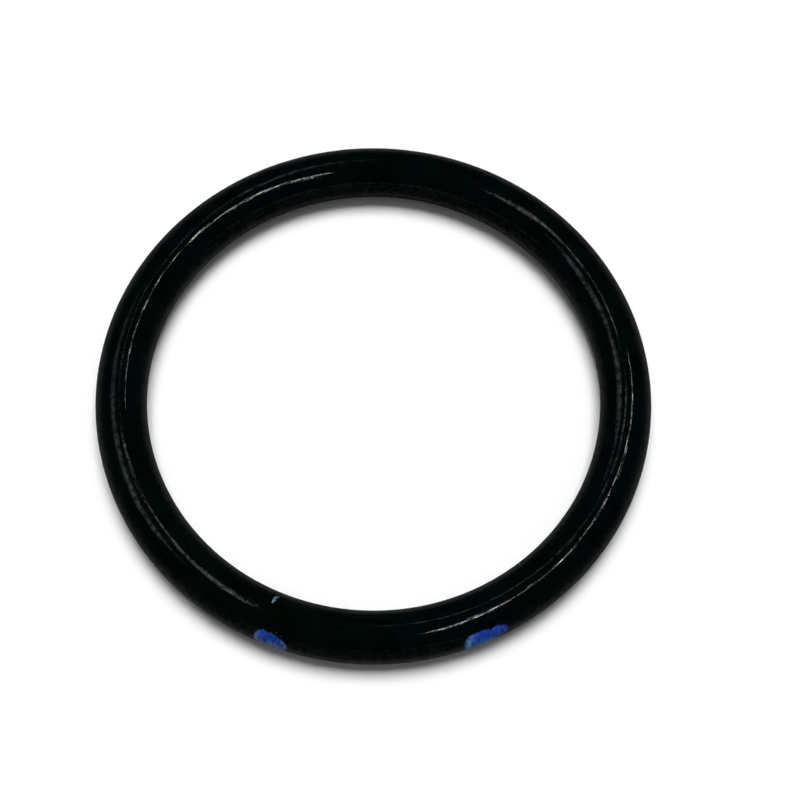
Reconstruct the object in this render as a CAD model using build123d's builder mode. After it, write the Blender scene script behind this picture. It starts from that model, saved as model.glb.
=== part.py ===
from build123d import *

import os
from math import cos, radians, sin

# Rubber O-ring of round section, with two dabs of blue paint on its outer side.
#
# Lengths are in millimetres and angles in degrees. The ring lies flat in the XY plane, centred on the
# origin, with its axis along +Z. A place on its surface has two angles: one round the axis, counted from
# +X towards +Y, and one round the section, counted from the outside diameter up towards the crown.

os.makedirs("parts", exist_ok=True)

# The two sizes that name an O-ring.
inside_diameter = 31.34
section_diameter = 3.53

# The film of each paint dab.
paint_thickness = 0.04

# The left dab: its middle round the axis, its length along the ring, and its edges round the section.
left_mark_place = 251.5
left_mark_length = 2.4
left_mark_top = 47.0
left_mark_bottom = -30.0

# The right dab.
right_mark_place = 295.0
right_mark_length = 3.25
right_mark_top = 45.0
right_mark_bottom = -30.0

# The ragged edge of each dab, as shares of its half length and of its height above its bottom edge.
left_mark_outline = [
    (-1.00, 0.60),
    (-0.82, 0.82),
    (-0.62, 0.99),
    (-0.28, 0.95),
    (-0.10, 1.00),
    (0.35, 0.94),
    (0.78, 0.81),
    (1.00, 0.55),
    (0.72, 0.12),
    (-0.70, 0.00),
]
right_mark_outline = [
    (-1.00, 0.80),
    (-0.80, 0.95),
    (-0.35, 1.00),
    (0.05, 0.98),
    (0.28, 0.93),
    (0.50, 0.97),
    (0.85, 0.90),
    (1.00, 0.72),
    (0.94, 0.50),
    (0.50, 0.53),
    (0.25, 0.10),
    (-0.65, 0.00),
]

section_radius = section_diameter / 2
centreline_radius = inside_diameter / 2 + section_radius
painted_radius = section_radius + paint_thickness


def outer_side(place):
    """The plane that touches the paint on the outside diameter at this angle, facing outwards."""
    outwards = (cos(radians(place)), sin(radians(place)), 0)
    along = (-sin(radians(place)), cos(radians(place)), 0)
    return Plane(origin=(0, 0, 0), x_dir=along, z_dir=outwards).offset(
        centreline_radius + painted_radius
    )


def paint_mark(place, length, top, bottom, outline):
    """The film that follows the ring's surface, kept inside the outline of one dab."""
    low = section_radius * sin(radians(bottom))
    height = section_radius * sin(radians(top)) - low
    points = [(across * length / 2, low + up * height) for across, up in outline]
    with BuildPart() as mark:
        with BuildSketch(Plane.XZ):
            with Locations((centreline_radius, 0)):
                Circle(painted_radius)
                Circle(section_radius, mode=Mode.SUBTRACT)
        revolve(axis=Axis.Z)
        with BuildSketch(outer_side(place)):
            with BuildLine():
                Polyline(*points, close=True)
            make_face()
        extrude(amount=-painted_radius, mode=Mode.INTERSECT)
    return mark


# The ring: a round section turned once round the axis. Each half of the mould makes half of the round,
# and the halves meet at the outside and the inside diameter.
with BuildPart() as o_ring:
    with BuildSketch(Plane.XZ):
        with BuildLine():
            CenterArc((centreline_radius, 0), section_radius, 0, 180)
            CenterArc((centreline_radius, 0), section_radius, 180, 180)
        make_face()
    revolve(axis=Axis.Z)

left_paint_mark = paint_mark(
    left_mark_place,
    left_mark_length,
    left_mark_top,
    left_mark_bottom,
    left_mark_outline,
)

right_paint_mark = paint_mark(
    right_mark_place,
    right_mark_length,
    right_mark_top,
    right_mark_bottom,
    right_mark_outline,
)

o_ring.part.label = "o_ring"
export_step(o_ring.part, "parts/o_ring.step")

left_paint_mark.part.label = "left_paint_mark"
export_step(left_paint_mark.part, "parts/left_paint_mark.step")

right_paint_mark.part.label = "right_paint_mark"
export_step(right_paint_mark.part, "parts/right_paint_mark.step")
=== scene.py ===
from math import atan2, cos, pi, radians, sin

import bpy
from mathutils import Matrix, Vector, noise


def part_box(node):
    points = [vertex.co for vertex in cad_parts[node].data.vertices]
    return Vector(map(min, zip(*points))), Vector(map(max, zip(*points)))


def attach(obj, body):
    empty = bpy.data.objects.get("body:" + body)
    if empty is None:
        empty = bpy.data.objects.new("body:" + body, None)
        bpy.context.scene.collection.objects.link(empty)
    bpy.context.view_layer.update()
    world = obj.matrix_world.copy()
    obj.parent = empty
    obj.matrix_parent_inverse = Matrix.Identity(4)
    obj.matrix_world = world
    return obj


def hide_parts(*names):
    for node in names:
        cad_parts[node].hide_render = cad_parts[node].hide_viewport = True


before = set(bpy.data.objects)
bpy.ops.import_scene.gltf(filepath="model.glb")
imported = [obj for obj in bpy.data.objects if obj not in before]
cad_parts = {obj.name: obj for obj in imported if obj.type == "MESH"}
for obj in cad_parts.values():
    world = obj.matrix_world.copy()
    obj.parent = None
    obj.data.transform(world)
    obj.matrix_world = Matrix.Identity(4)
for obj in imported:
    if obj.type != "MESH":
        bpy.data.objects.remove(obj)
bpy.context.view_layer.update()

# A rubber O-ring of round section lying flat, with two dabs of blue paint on its outer side.
#
# Lengths are in metres and angles in degrees. A place on the ring has two angles: one round the axis,
# counted from +X towards +Y, and one round the section, counted from the outside diameter up to the crown.

MILLIMETRE = 0.001
WHITE = (1.0, 1.0, 1.0, 1.0)

# The ring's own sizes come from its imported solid.
ring_low, ring_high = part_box("o_ring")
SECTION_RADIUS = ring_high.z
CENTRELINE_RADIUS = ring_high.x - SECTION_RADIUS
FLOOR_HEIGHT = ring_low.z

# Divisions of the ring's mesh round the axis and round the section.
RING_STEPS = 640
SECTION_STEPS = 128

# The paint films: how thick they are, half the depth of the brush's ridges, how far their underside is sunk
# in the rubber, and the power by which they thin out towards their rim.
FILM_THICKNESS = 0.032 * MILLIMETRE
FILM_RIDGE = 0.006 * MILLIMETRE
FILM_SINK = 0.03 * MILLIMETRE
FILM_THINNING = 6

# How many degrees a film's edge wanders along the ring and round the section, and how many waves it makes in
# a degree of either. Each of the film's three noises is read at a place of its own, so that they differ.
EDGE_WANDER = (0.22, 3.2)
EDGE_WAVES = (7.0, 0.35)
ASIDE_PLACE = 3.0
UPWARDS_PLACE = 7.0
RIDGE_PLACE = 11.0

# Divisions of a film's mesh round its rim and out from its middle, of a dab and of a fleck.
DAB_DIVISIONS = (360, 30)
FLECK_DIVISIONS = (60, 6)

# Each dab's middle and edge, as pairs of angles.
LEFT_DAB = {
    "middle": (251.5, 24.0),
    "edge": [
        (247.9, 8.0),
        (248.1, 31.0),
        (248.8, 42.0),
        (249.6, 47.0),
        (250.5, 43.5),
        (251.1, 46.5),
        (252.0, 43.0),
        (253.2, 40.0),
        (254.3, 31.0),
        (255.1, 19.0),
        (254.9, 2.0),
        (253.9, -22.0),
        (251.6, -29.0),
        (249.0, -20.0),
    ],
}
RIGHT_DAB = {
    "middle": (294.4, 22.0),
    "edge": [
        (290.1, 6.0),
        (290.3, 28.0),
        (291.2, 41.5),
        (292.6, 44.5),
        (294.3, 45.0),
        (295.6, 42.5),
        (296.4, 39.5),
        (297.6, 42.5),
        (298.6, 37.5),
        (299.4, 35.0),
        (299.9, 22.0),
        (299.5, 9.0),
        (297.6, 5.0),
        (296.3, -6.0),
        (295.2, -25.0),
        (292.6, -29.5),
        (290.8, -20.0),
    ],
}

# A pale fleck of paint on the inner side of the ring, and two small ones above the left dab.
FLECKS = [
    {
        "middle": (249.3, 117.0),
        "edge": [
            (249.1, 107.0),
            (248.9, 114.0),
            (248.9, 122.5),
            (249.2, 129.5),
            (249.8, 133.0),
            (250.05, 129.0),
            (249.7, 124.0),
            (249.6, 115.0),
            (249.4, 107.0),
        ],
    },
    {
        "middle": (252.3, 49.5),
        "edge": [(252.15, 48.5), (252.2, 51.0), (252.5, 50.5), (252.4, 48.0)],
    },
    {
        "middle": (253.3, 45.0),
        "edge": [(253.15, 44.5), (253.2, 46.5), (253.45, 45.5), (253.35, 44.0)],
    },
]

# The paint's colours. Two colours are those of the darker and the lighter brush streaks. The colours of an
# end or a low edge begin and are full at two places in millimetres, counted from the dab's middle along the
# ring, or from the ring's middle plane upwards. On the two dabs the lighter grey-blue of the low edge is a
# painted reflection of the floor, where the paint turns down towards it; on the fleck the low edge is darker.
LEFT_LOOK = {
    "middle": ((0.005, 0.030, 0.18, 1.0), (0.018, 0.080, 0.42, 1.0)),
    "left": (-0.70, -1.10, (0.05, 0.07, 0.15, 1.0), (0.24, 0.28, 0.44, 1.0)),
    "right": (0.75, 1.10, (0.02, 0.055, 0.17, 1.0), (0.16, 0.21, 0.40, 1.0)),
    # Painted reflection of the floor along the dab's low edge.
    "low": (0.62, 0.20, (0.06, 0.11, 0.20, 1.0), (0.16, 0.23, 0.38, 1.0)),
}
RIGHT_LOOK = {
    "middle": ((0.006, 0.036, 0.29, 1.0), (0.017, 0.082, 0.50, 1.0)),
    "left": (-0.50, -1.00, (0.008, 0.040, 0.12, 1.0), (0.14, 0.31, 0.64, 1.0)),
    "right": (0.50, 1.35, (0.002, 0.010, 0.09, 1.0), (0.030, 0.070, 0.42, 1.0)),
    # Painted reflection of the floor along the dab's low edge.
    "low": (0.50, 0.10, (0.03, 0.10, 0.24, 1.0), (0.07, 0.20, 0.42, 1.0)),
}
FLECK_LOOK = {
    "middle": ((0.11, 0.16, 0.20, 1.0), (0.22, 0.28, 0.34, 1.0)),
    "left": (-0.10, -0.30, (0.03, 0.05, 0.09, 1.0), (0.08, 0.11, 0.17, 1.0)),
    "right": (0.25, 0.50, (0.004, 0.010, 0.030, 1.0), (0.012, 0.026, 0.070, 1.0)),
    "low": (1.50, 1.25, (0.006, 0.014, 0.045, 1.0), (0.02, 0.04, 0.11, 1.0)),
}

# The colour of a film's thin rim, and the shares of the way out at which it starts and is full.
THIN_PAINT = (0.0015, 0.005, 0.030, 1.0)
THIN_PAINT_SHARES = (0.84, 1.0)

# Below, "noise" is a noise's scale in cells a metre, its detail and its roughness. "range" is two values of
# that noise and what they become. "depth" is how deep it is as a bump, in metres.

# The paint: the brush has drawn its streaks out, so their noise runs at these shares of its scale outwards,
# along the ring and upwards. The range of its blotches gives its roughness. The colours of its ends and its
# low edge begin up to a quarter of a millimetre sooner or later.
BRUSH_DRAW = (0.4, 1.0, 0.4)
PAINT_STREAKS = {"noise": (4200.0, 3.0, 0.6), "range": (0.38, 0.62, 0.0, 1.0), "depth": 0.008 * MILLIMETRE}
PAINT_BLOTCHES = {"noise": (1900.0, 2.0, 0.5), "range": (0.3, 0.7, 0.55, 0.75)}
COLOUR_WANDER = (0.3, 0.7, -0.25 * MILLIMETRE, 0.25 * MILLIMETRE)
PAINT_SPECULAR = 0.06

# The rubber's darker and its lighter tone, each in a greener and a bluer hue.
RUBBER_DARK = ((0.0002, 0.0012, 0.0006, 1.0), (0.0002, 0.0010, 0.0011, 1.0))
RUBBER_LIGHT = ((0.0008, 0.0032, 0.0018, 1.0), (0.0008, 0.0026, 0.0032, 1.0))
RUBBER_TONE = {"noise": (450.0, 4.0, 0.5), "range": (0.3, 0.7, 0.0, 1.0)}
RUBBER_HUE = {"noise": (160.0, 2.0, 0.5), "range": (0.35, 0.65, 0.0, 1.0)}

# The rubber under its polish: how dull it is, and its bumps from the widest to the finest.
RUBBER_DULLNESS = {"noise": (1400.0, 3.0, 0.5), "range": (0.3, 0.7, 0.40, 0.55)}
RUBBER_WAVES = {"noise": (700.0, 1.0, 0.5), "depth": 0.003 * MILLIMETRE}
RUBBER_LUMPS = {"noise": (2600.0, 2.0, 0.5), "depth": 0.008 * MILLIMETRE}
RUBBER_GRAIN = {"noise": (9000.0, 2.0, 0.5), "depth": 0.003 * MILLIMETRE}

# The rubber's polish. As the surface turns away from the viewer, the grainy polish falls and then an even
# sheen rises: each range is two values of Facing and what they become.
RUBBER_POLISH = {"noise": (2800.0, 3.0, 0.6), "range": (0.38, 0.62, 0.05, 0.29)}
POLISH_FALL = (0.10, 0.19, 1.0, 0.20)
SHEEN_RISE = (0.34, 0.60, 0.0, 0.066)
COAT_ROUGHNESS = 0.05

# The marks in the polish: the mould's lines, and scuffs where it is worn. Along the ring the noise of the
# lines runs at a small share of its scale.
MOULD_LINES = {"noise": (4500.0, 2.0, 0.5), "depth": 0.013 * MILLIMETRE}
LINE_DRAW = 0.04
SCUFFS = {"noise": (4000.0, 2.0, 0.5), "depth": 0.0036 * MILLIMETRE}
WEAR = {"noise": (1300.0, 3.0, 0.6), "range": (0.42, 0.62, 0.0, 1.0)}

# The camera that took the photograph. The side of the frame, the focal length and the ring's place in the
# frame are in pixels, and the sensor's width in millimetres.
IMAGE_SIDE = 800
SENSOR_WIDTH = 36.0
FOCAL_PIXELS = 1821.0
CAMERA_DISTANCE = 7.233 * CENTRELINE_RADIUS
CAMERA_ELEVATION = 67.25
CAMERA_ROLL = 2.1
RING_RIGHT_OF_CENTRE = -25.99
RING_ABOVE_CENTRE = 7.39
CAMERA_CLIP = (0.01, 20.0)

# Lamps face straight down from the lamp height. Places and widths are shares of that height and power is
# in watts. A louvred row is cut into cells, each bright over its "bright" share. A row without cells shines
# by the soft peak times the two shares of its width on either side, which makes 1 along its middle line.
LAMP_HEIGHT = 4.0
SOFT_PEAK = 4.0
LAMP_ROWS = {
    "right_far_row": {
        "far": (0.455, 0.56), "near": (0.331, 0.18), "width": 0.09,
        "power": 98.0, "cells": 7, "bright": 0.42,
    },
    "right_near_row": {
        "far": (0.327, 0.17), "near": (0.197, -0.237), "width": 0.09,
        "power": 128.0, "cells": 7, "bright": 0.46,
    },
    "right_end_row": {
        "far": (0.196, -0.24), "near": (0.178, -0.295), "width": 0.09,
        "power": 10.0, "cells": 6, "bright": 0.72,
    },
    "middle_far_row": {
        "far": (-0.045, 0.70), "near": (-0.10, 0.43), "width": 0.07,
        "power": 4.4, "cells": 5, "bright": 0.55,
    },
    "middle_near_row": {
        "far": (-0.09, 0.41), "near": (-0.215, 0.05), "width": 0.07,
        "power": 10.0, "cells": 7, "bright": 0.70,
    },
    "left_row": {
        "far": (-0.695, 0.72), "near": (-0.747, -0.08), "width": 0.60,
        "power": 76.0, "cells": 0, "bright": 1.0,
    },
}

# The soft lamps light the floor, the rubber and the paint and make no gloss. The rows only make gloss.
SOFT_LAMPS = {
    "soft_lamp": {"middle": (0.02, 0.22), "size": (0.58, 0.50), "power": 186.0},
    "wide_lamp": {"middle": (0.0, 0.1), "size": (3.0, 3.0), "power": 115.0},
}

# The floor: the colour that lights the ring, and the one that camera, glossy and transmission rays see.
FLOOR_COLOUR = (0.50, 0.50, 0.50, 1.0)
FLOOR_SEEN_COLOUR = (0.92, 0.92, 0.92, 1.0)
FLOOR_RADIUS = 0.4
FLOOR_STEPS = 96

# The room: its faint light, the heights of a direction between which the white past the floor fades out,
# and the share of that white that gloss shows.
ROOM_LIGHT = 0.02
WHITE_FADES = (0.22, 0.26)
WHITE_IN_GLOSS = 0.5


def point_on_ring(round_axis, round_section, lift=0.0):
    """The point at these two angles, lifted off the rubber by this much."""
    turn = radians(round_axis)
    tilt = radians(round_section)
    reach = CENTRELINE_RADIUS + (SECTION_RADIUS + lift) * cos(tilt)
    return Vector((reach * cos(turn), reach * sin(turn), (SECTION_RADIUS + lift) * sin(tilt)))


def new_piece(name, points, faces):
    """A smooth-shaded mesh object with these points and faces."""
    mesh = bpy.data.meshes.new(name)
    mesh.from_pydata(points, [], faces)
    mesh.shade_smooth()
    mesh.update()
    piece = bpy.data.objects.new(name, mesh)
    bpy.context.scene.collection.objects.link(piece)
    return piece


def new_material(name):
    """A node material, with its node tree and its Principled shader."""
    material = bpy.data.materials.new(name)
    material.use_nodes = True
    return material, material.node_tree, material.node_tree.nodes["Principled BSDF"]


def noise_node(tree, coordinates, scale, detail, roughness):
    """A noise texture at this scale, in cells a metre."""
    node = tree.nodes.new("ShaderNodeTexNoise")
    node.inputs["Scale"].default_value = scale
    node.inputs["Detail"].default_value = detail
    node.inputs["Roughness"].default_value = roughness
    tree.links.new(coordinates, node.inputs["Vector"])
    return node.outputs["Fac"]


def spread(tree, value, low, high, to_low, to_high):
    """The value, moved from one range to another and kept inside it."""
    node = tree.nodes.new("ShaderNodeMapRange")
    node.inputs["From Min"].default_value = low
    node.inputs["From Max"].default_value = high
    node.inputs["To Min"].default_value = to_low
    node.inputs["To Max"].default_value = to_high
    tree.links.new(value, node.inputs["Value"])
    return node.outputs["Result"]


def spread_noise(tree, where, look):
    """The noise of a look, spread over its range."""
    return spread(tree, noise_node(tree, where, *look["noise"]), *look["range"])


def blend_colours(tree, share, first, second):
    """A colour between two colours, each a colour or a socket that gives one."""
    node = tree.nodes.new("ShaderNodeMix")
    node.data_type = "RGBA"
    tree.links.new(share, node.inputs["Factor"])
    for name, colour in (("A", first), ("B", second)):
        socket = [s for s in node.inputs if s.name == name and s.type == "RGBA"][0]
        if isinstance(colour, bpy.types.NodeSocket):
            tree.links.new(colour, socket)
        else:
            socket.default_value = colour
    return [s for s in node.outputs if s.type == "RGBA"][0]


def calculate(tree, operation, *values):
    """The result of this operation on numbers or sockets."""
    node = tree.nodes.new("ShaderNodeMath")
    node.operation = operation
    for place, value in enumerate(values):
        if isinstance(value, bpy.types.NodeSocket):
            tree.links.new(value, node.inputs[place])
        else:
            node.inputs[place].default_value = value
    return node.outputs[0]


def bump_node(tree, height, depth, below=None):
    """A bump of this depth in metres, on top of another bump where one is given."""
    node = tree.nodes.new("ShaderNodeBump")
    node.inputs["Distance"].default_value = depth
    node.inputs["Strength"].default_value = 1.0
    tree.links.new(height, node.inputs["Height"])
    if below is not None:
        tree.links.new(below, node.inputs["Normal"])
    return node.outputs["Normal"]


def noise_bump(tree, where, look, below=None):
    """The noise of a look as a bump of its depth."""
    return bump_node(tree, noise_node(tree, where, *look["noise"]), look["depth"], below)


def mould_lines(tree, where):
    """Noise drawn out along the ring, as the fine lines that a turned mould leaves."""
    slow = tree.nodes.new("ShaderNodeVectorMath")
    slow.operation = "MULTIPLY"
    slow.inputs[1].default_value = (LINE_DRAW, LINE_DRAW, 1.0)
    tree.links.new(where, slow.inputs[0])
    flat = tree.nodes.new("ShaderNodeVectorMath")
    flat.operation = "MULTIPLY"
    flat.inputs[1].default_value = (1.0, 1.0, 0.0)
    tree.links.new(where, flat.inputs[0])
    reach = tree.nodes.new("ShaderNodeVectorMath")
    reach.operation = "LENGTH"
    tree.links.new(flat.outputs[0], reach.inputs[0])
    lines = noise_node(tree, slow.outputs[0], *MOULD_LINES["noise"])
    lines.node.noise_dimensions = "4D"
    tree.links.new(reach.outputs["Value"], lines.node.inputs["W"])
    return lines.node.outputs["Fac"]


def add_polish(tree, shader, where, waves):
    """The rubber's low polish: grainy where it faces the viewer and an even sheen where it turns away, over
    the mould's lines and the scuffs of worn places."""
    polish = spread_noise(tree, where, RUBBER_POLISH)
    facing = tree.nodes.new("ShaderNodeLayerWeight").outputs["Facing"]
    shine = calculate(tree, "MULTIPLY", polish, spread(tree, facing, *POLISH_FALL))
    sheen = spread(tree, facing, *SHEEN_RISE)
    tree.links.new(calculate(tree, "ADD", shine, sheen), shader.inputs["Coat Weight"])
    shader.inputs["Coat Roughness"].default_value = COAT_ROUGHNESS
    lines = bump_node(tree, mould_lines(tree, where), MOULD_LINES["depth"], waves)
    scuffs = noise_bump(tree, where, SCUFFS, lines)
    tree.links.new(spread_noise(tree, where, WEAR), scuffs.node.inputs["Strength"])
    tree.links.new(scuffs, shader.inputs["Coat Normal"])


def rubber_material():
    """Black moulded rubber, mottled a little green and blue, with fine grain under its polish."""
    material, tree, shader = new_material("rubber")
    where = tree.nodes.new("ShaderNodeTexCoord").outputs["Object"]
    tone = spread_noise(tree, where, RUBBER_TONE)
    hue = spread_noise(tree, where, RUBBER_HUE)
    dark = blend_colours(tree, hue, *RUBBER_DARK)
    light = blend_colours(tree, hue, *RUBBER_LIGHT)
    tree.links.new(blend_colours(tree, tone, dark, light), shader.inputs["Base Color"])
    tree.links.new(spread_noise(tree, where, RUBBER_DULLNESS), shader.inputs["Roughness"])
    shader.inputs["Specular IOR Level"].default_value = 0.0
    waves = noise_bump(tree, where, RUBBER_WAVES)
    lumps = noise_bump(tree, where, RUBBER_LUMPS, waves)
    grain = noise_bump(tree, where, RUBBER_GRAIN, lumps)
    tree.links.new(grain, shader.inputs["Normal"])
    add_polish(tree, shader, where, waves)
    return material


def make_ring():
    """The ring: a torus that fills its solid's box."""
    points = []
    faces = []
    for i in range(RING_STEPS):
        for j in range(SECTION_STEPS):
            points.append(point_on_ring(360.0 * i / RING_STEPS, 360.0 * j / SECTION_STEPS))
            next_i = (i + 1) % RING_STEPS
            next_j = (j + 1) % SECTION_STEPS
            faces.append((
                i * SECTION_STEPS + j,
                next_i * SECTION_STEPS + j,
                next_i * SECTION_STEPS + next_j,
                i * SECTION_STEPS + next_j,
            ))
    ring = new_piece("rubber_ring", points, faces)
    ring.data.materials.append(rubber_material())
    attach(ring, "root")
    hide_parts("o_ring")


def through_points(points, share):
    """The point this far round a smooth closed curve through these pairs of angles. Between two of them the
    curve is a cubic whose ends slope as a line between the points on either side."""
    count = len(points)
    run = int(share * count)
    t = share * count - run
    before, start, end, after = (Vector(points[(run + k) % count]) for k in (-1, 0, 1, 2))
    bend = 2 * before - 5 * start + 4 * end - after
    twist = 3 * start - before - 3 * end + after
    return start + 0.5 * t * ((end - before) + t * (bend + t * twist))


def ragged_edge(dab, share):
    """The point this far round a dab's edge, where the brush has left it ragged."""
    edge = through_points(dab["edge"], share)
    along, round_section = edge
    wander_along, wander_round = EDGE_WANDER
    waves_along, waves_round = EDGE_WAVES
    aside = noise.noise(Vector((round_section * waves_round, along, ASIDE_PLACE)))
    upwards = noise.noise(Vector((along * waves_along, 0.0, UPWARDS_PLACE)))
    return edge + Vector((wander_along * aside, wander_round * upwards))


def film_lift(along, out):
    """How far a film stands off the rubber: full in the middle, ridged by the brush, thin at its edge."""
    full = 1.0 - out ** FILM_THINNING
    ridge = noise.noise(Vector((along * EDGE_WAVES[0], 0.0, RIDGE_PLACE)))
    return (FILM_THICKNESS - FILM_RIDGE + FILM_RIDGE * ridge) * full


def film_mesh(dab, divisions, points, faces, outwards):
    """Adds a closed thin film that follows the rubber under a dab, and how far out each point is."""
    rim_steps, rings = divisions
    middle = Vector(dab["middle"])
    rim = [ragged_edge(dab, k / rim_steps) for k in range(rim_steps)]
    for top in (True, False):
        start = len(points)
        for ring in range(1, rings + 1):
            out = ring / rings
            for edge in rim:
                along, round_section = middle.lerp(edge, out)
                lift = film_lift(along, out) if top else -FILM_SINK
                points.append(point_on_ring(along, round_section, lift))
                outwards.append(out)
        points.append(point_on_ring(*middle, film_lift(middle.x, 0.0) if top else -FILM_SINK))
        outwards.append(0.0)
        centre = len(points) - 1
        for k in range(rim_steps):
            after = (k + 1) % rim_steps
            face = (centre, start + after, start + k)
            faces.append(face if top else face[::-1])
            for ring in range(rings - 1):
                low = start + ring * rim_steps
                high = low + rim_steps
                face = (low + k, low + after, high + after, high + k)
                faces.append(face if top else face[::-1])
    top_rim = start - 1 - rim_steps
    under_rim = centre - rim_steps
    for k in range(rim_steps):
        after = (k + 1) % rim_steps
        faces.append((top_rim + k, top_rim + after, under_rim + after, under_rim + k))


def paint_piece(name, dabs, divisions, material):
    """A piece of paint made of these dabs."""
    points = []
    faces = []
    outwards = []
    for dab in dabs:
        film_mesh(dab, divisions, points, faces, outwards)
    film = new_piece(name, points, faces)
    film.data.attributes.new("outwards", "FLOAT", "POINT").data.foreach_set("value", outwards)
    film.data.materials.append(material)
    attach(film, "root")
    return film


def paint_colour(tree, look, split, streak, blotch):
    """The paint's streaks, with other tones at its ends and its low edge, and a dark rim where it is thin. On
    the dabs the low edge's tone is a painted reflection of the floor.
    """
    streaks = spread(tree, streak, *PAINT_STREAKS["range"])
    colour = blend_colours(tree, streaks, *look["middle"])
    # The low edge's colour, blended in by height, is a painted reflection of the floor on the dabs.
    for side, axis, ragged in (("left", "Y", streak), ("right", "Y", streak), ("low", "Z", blotch)):
        begins, full, darker, lighter = look[side]
        reach = calculate(tree, "ADD", split.outputs[axis], spread(tree, ragged, *COLOUR_WANDER))
        share = spread(tree, reach, begins * MILLIMETRE, full * MILLIMETRE, 0.0, 1.0)
        colour = blend_colours(tree, share, colour, blend_colours(tree, streaks, darker, lighter))
    outwards = tree.nodes.new("ShaderNodeAttribute")
    outwards.attribute_name = "outwards"
    thin = spread(tree, outwards.outputs["Fac"], *THIN_PAINT_SHARES, 0.0, 1.0)
    return blend_colours(tree, thin, colour, THIN_PAINT)


def paint_material(name, place, look):
    """Blue paint in short brush streaks, whose tones are laid out from this angle round the axis."""
    material, tree, shader = new_material(name)
    where = tree.nodes.new("ShaderNodeTexCoord").outputs["Object"]
    turned = tree.nodes.new("ShaderNodeMapping")
    turned.vector_type = "TEXTURE"
    turned.inputs["Rotation"].default_value = (0.0, 0.0, radians(place))
    tree.links.new(where, turned.inputs["Vector"])
    brushed = tree.nodes.new("ShaderNodeMapping")
    brushed.inputs["Scale"].default_value = BRUSH_DRAW
    tree.links.new(turned.outputs[0], brushed.inputs["Vector"])
    split = tree.nodes.new("ShaderNodeSeparateXYZ")
    tree.links.new(turned.outputs[0], split.inputs[0])
    streak = noise_node(tree, brushed.outputs[0], *PAINT_STREAKS["noise"])
    blotch = noise_node(tree, where, *PAINT_BLOTCHES["noise"])
    tree.links.new(paint_colour(tree, look, split, streak, blotch), shader.inputs["Base Color"])
    tree.links.new(spread(tree, blotch, *PAINT_BLOTCHES["range"]), shader.inputs["Roughness"])
    shader.inputs["Specular IOR Level"].default_value = PAINT_SPECULAR
    tree.links.new(bump_node(tree, streak, PAINT_STREAKS["depth"]), shader.inputs["Normal"])
    return material


def make_dab(name, node, dab, look):
    """One dab of paint on the outer side of the ring."""
    material = paint_material(name, dab["middle"][0], look)
    film = paint_piece(name, [dab], DAB_DIVISIONS, material)
    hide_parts(node)


def make_flecks():
    """The loose flecks of paint, as one piece."""
    material = paint_material("paint_flecks", FLECKS[0]["middle"][0], FLECK_LOOK)
    paint_piece("paint_flecks", FLECKS, FLECK_DIVISIONS, material)


def floor_material():
    """Plain matt white. Camera, glossy and transmission rays see it brighter than it lights the ring."""
    material, tree, shader = new_material("floor")
    tree.nodes.remove(shader)
    path = tree.nodes.new("ShaderNodeLightPath")
    choose = tree.nodes.new("ShaderNodeMixShader")
    seen = calculate(tree, "ADD", path.outputs["Is Camera Ray"], path.outputs["Is Glossy Ray"])
    seen = calculate(tree, "ADD", seen, path.outputs["Is Transmission Ray"])
    tree.links.new(seen, choose.inputs[0])
    for place, colour in ((1, FLOOR_COLOUR), (2, FLOOR_SEEN_COLOUR)):
        matt = tree.nodes.new("ShaderNodeBsdfDiffuse")
        matt.inputs["Color"].default_value = colour
        tree.links.new(matt.outputs[0], choose.inputs[place])
    tree.links.new(choose.outputs[0], tree.nodes["Material Output"].inputs["Surface"])
    return material


def make_floor():
    """A round floor that the ring lies on."""
    points = []
    for i in range(FLOOR_STEPS):
        turn = 2 * pi * i / FLOOR_STEPS
        points.append((FLOOR_RADIUS * cos(turn), FLOOR_RADIUS * sin(turn), FLOOR_HEIGHT))
    floor = new_piece("floor", points, [tuple(range(FLOOR_STEPS))])
    floor.data.materials.append(floor_material())


def shape_row(lamp, cells, bright):
    """Makes a lamp shine in this many cells along its length, or without cells softly across its width."""
    lamp.use_nodes = True
    tree = lamp.node_tree
    place = tree.nodes.new("ShaderNodeSeparateXYZ")
    tree.links.new(tree.nodes.new("ShaderNodeNewGeometry").outputs["Parametric"], place.inputs[0])
    if cells:
        within = calculate(tree, "FRACT", calculate(tree, "MULTIPLY", place.outputs["Y"], cells))
        strength = calculate(tree, "LESS_THAN", within, bright)
    else:
        across = place.outputs["X"]
        strength = calculate(tree, "MULTIPLY", across, calculate(tree, "SUBTRACT", 1.0, across))
        strength = calculate(tree, "MULTIPLY", strength, SOFT_PEAK)
    tree.links.new(strength, tree.nodes["Emission"].inputs["Strength"])


def hang_lamp(name, middle, size, power, turn=0.0):
    """A flat lamp that faces straight down. Its place and size are shares of the lamp height."""
    lamp = bpy.data.lights.new(name, "AREA")
    lamp.shape = "RECTANGLE"
    lamp.size = size[0] * LAMP_HEIGHT
    lamp.size_y = size[1] * LAMP_HEIGHT
    lamp.energy = power
    holder = bpy.data.objects.new(name, lamp)
    holder.location = (middle[0] * LAMP_HEIGHT, middle[1] * LAMP_HEIGHT, LAMP_HEIGHT)
    holder.rotation_euler = (0.0, 0.0, turn)
    bpy.context.scene.collection.objects.link(holder)
    return holder


def make_lamps():
    """The rows that the rubber mirrors, and the soft lamps."""
    for name, row in LAMP_ROWS.items():
        far = Vector(row["far"])
        near = Vector(row["near"])
        along = far - near
        size = (row["width"], along.length)
        holder = hang_lamp(name, (far + near) / 2, size, row["power"], -atan2(along.x, along.y))
        shape_row(holder.data, row["cells"], row["bright"])
        holder.visible_diffuse = False
    for name, soft in SOFT_LAMPS.items():
        holder = hang_lamp(name, soft["middle"], soft["size"], soft["power"])
        holder.visible_glossy = False


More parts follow.
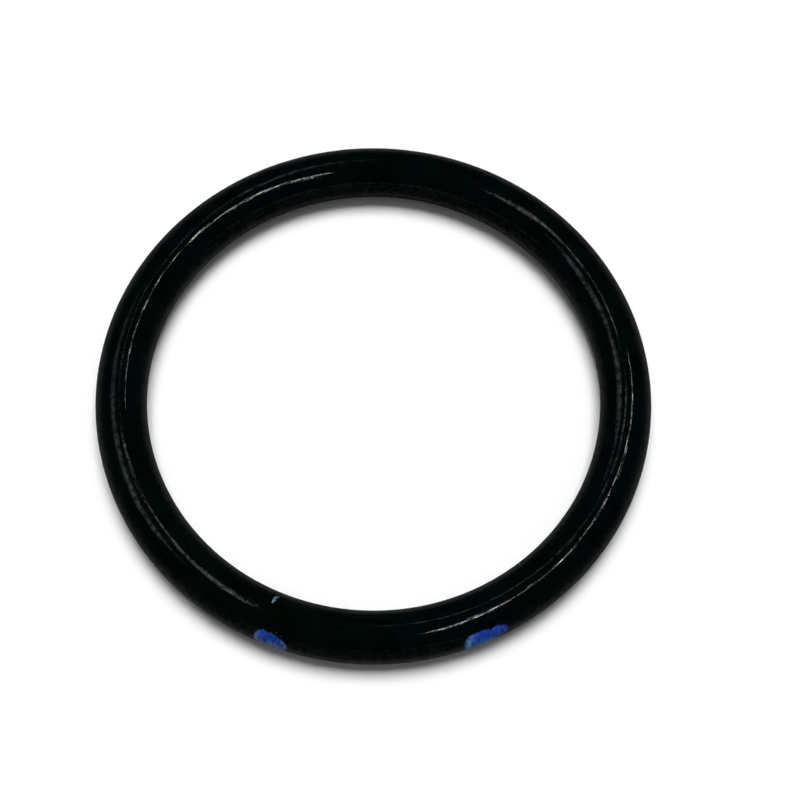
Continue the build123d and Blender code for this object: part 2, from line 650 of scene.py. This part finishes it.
def make_room():
    """The room's faint light, and the white that shows low down, past the floor's edge."""
    world = bpy.data.worlds.new("room")
    world.use_nodes = True
    tree = world.node_tree
    light = tree.nodes["Background"]
    light.inputs["Color"].default_value = WHITE
    light.inputs["Strength"].default_value = ROOM_LIGHT
    seen = tree.nodes.new("ShaderNodeBackground")
    seen.inputs["Color"].default_value = WHITE
    seen.inputs["Strength"].default_value = 1.0
    path = tree.nodes.new("ShaderNodeLightPath")
    choose = tree.nodes.new("ShaderNodeMixShader")
    glossy = calculate(tree, "MULTIPLY", path.outputs["Is Glossy Ray"], WHITE_IN_GLOSS)
    rays = calculate(tree, "ADD", path.outputs["Is Camera Ray"], glossy)
    rays = calculate(tree, "ADD", rays, path.outputs["Is Transmission Ray"])
    direction = tree.nodes.new("ShaderNodeSeparateXYZ")
    tree.links.new(tree.nodes.new("ShaderNodeTexCoord").outputs["Generated"], direction.inputs[0])
    low = spread(tree, direction.outputs["Z"], *WHITE_FADES, 1.0, 0.0)
    tree.links.new(calculate(tree, "MULTIPLY", rays, low), choose.inputs[0])
    tree.links.new(light.outputs[0], choose.inputs[1])
    tree.links.new(seen.outputs[0], choose.inputs[2])
    tree.links.new(choose.outputs[0], tree.nodes["World Output"].inputs["Surface"])
    bpy.context.scene.world = world


def make_camera():
    """The camera, above and in front of the ring and turned a little about its own axis."""
    elevation = radians(CAMERA_ELEVATION)
    roll = radians(CAMERA_ROLL)
    back = Vector((0.0, -cos(elevation), sin(elevation)))
    level = Vector((1.0, 0.0, 0.0))
    upright = Vector((0.0, sin(elevation), cos(elevation)))
    right = cos(roll) * level + sin(roll) * upright
    up = cos(roll) * upright - sin(roll) * level
    camera = bpy.data.cameras.new("camera")
    camera.sensor_width = SENSOR_WIDTH
    camera.lens = SENSOR_WIDTH * FOCAL_PIXELS / IMAGE_SIDE
    camera.clip_start, camera.clip_end = CAMERA_CLIP
    holder = bpy.data.objects.new("camera", camera)
    across = RING_RIGHT_OF_CENTRE / FOCAL_PIXELS
    above = RING_ABOVE_CENTRE / FOCAL_PIXELS
    place = CAMERA_DISTANCE * (back - across * right - above * up)
    turn = Matrix((right, up, back)).transposed().to_4x4()
    holder.matrix_world = Matrix.Translation(place) @ turn
    bpy.context.scene.collection.objects.link(holder)
    bpy.context.scene.camera = holder


make_camera()
make_ring()
make_dab("left_paint_film", "left_paint_mark", LEFT_DAB, LEFT_LOOK)
make_dab("right_paint_film", "right_paint_mark", RIGHT_DAB, RIGHT_LOOK)
make_flecks()
make_floor()
make_lamps()
make_room()
bpy.context.scene.view_settings.view_transform = "Standard"
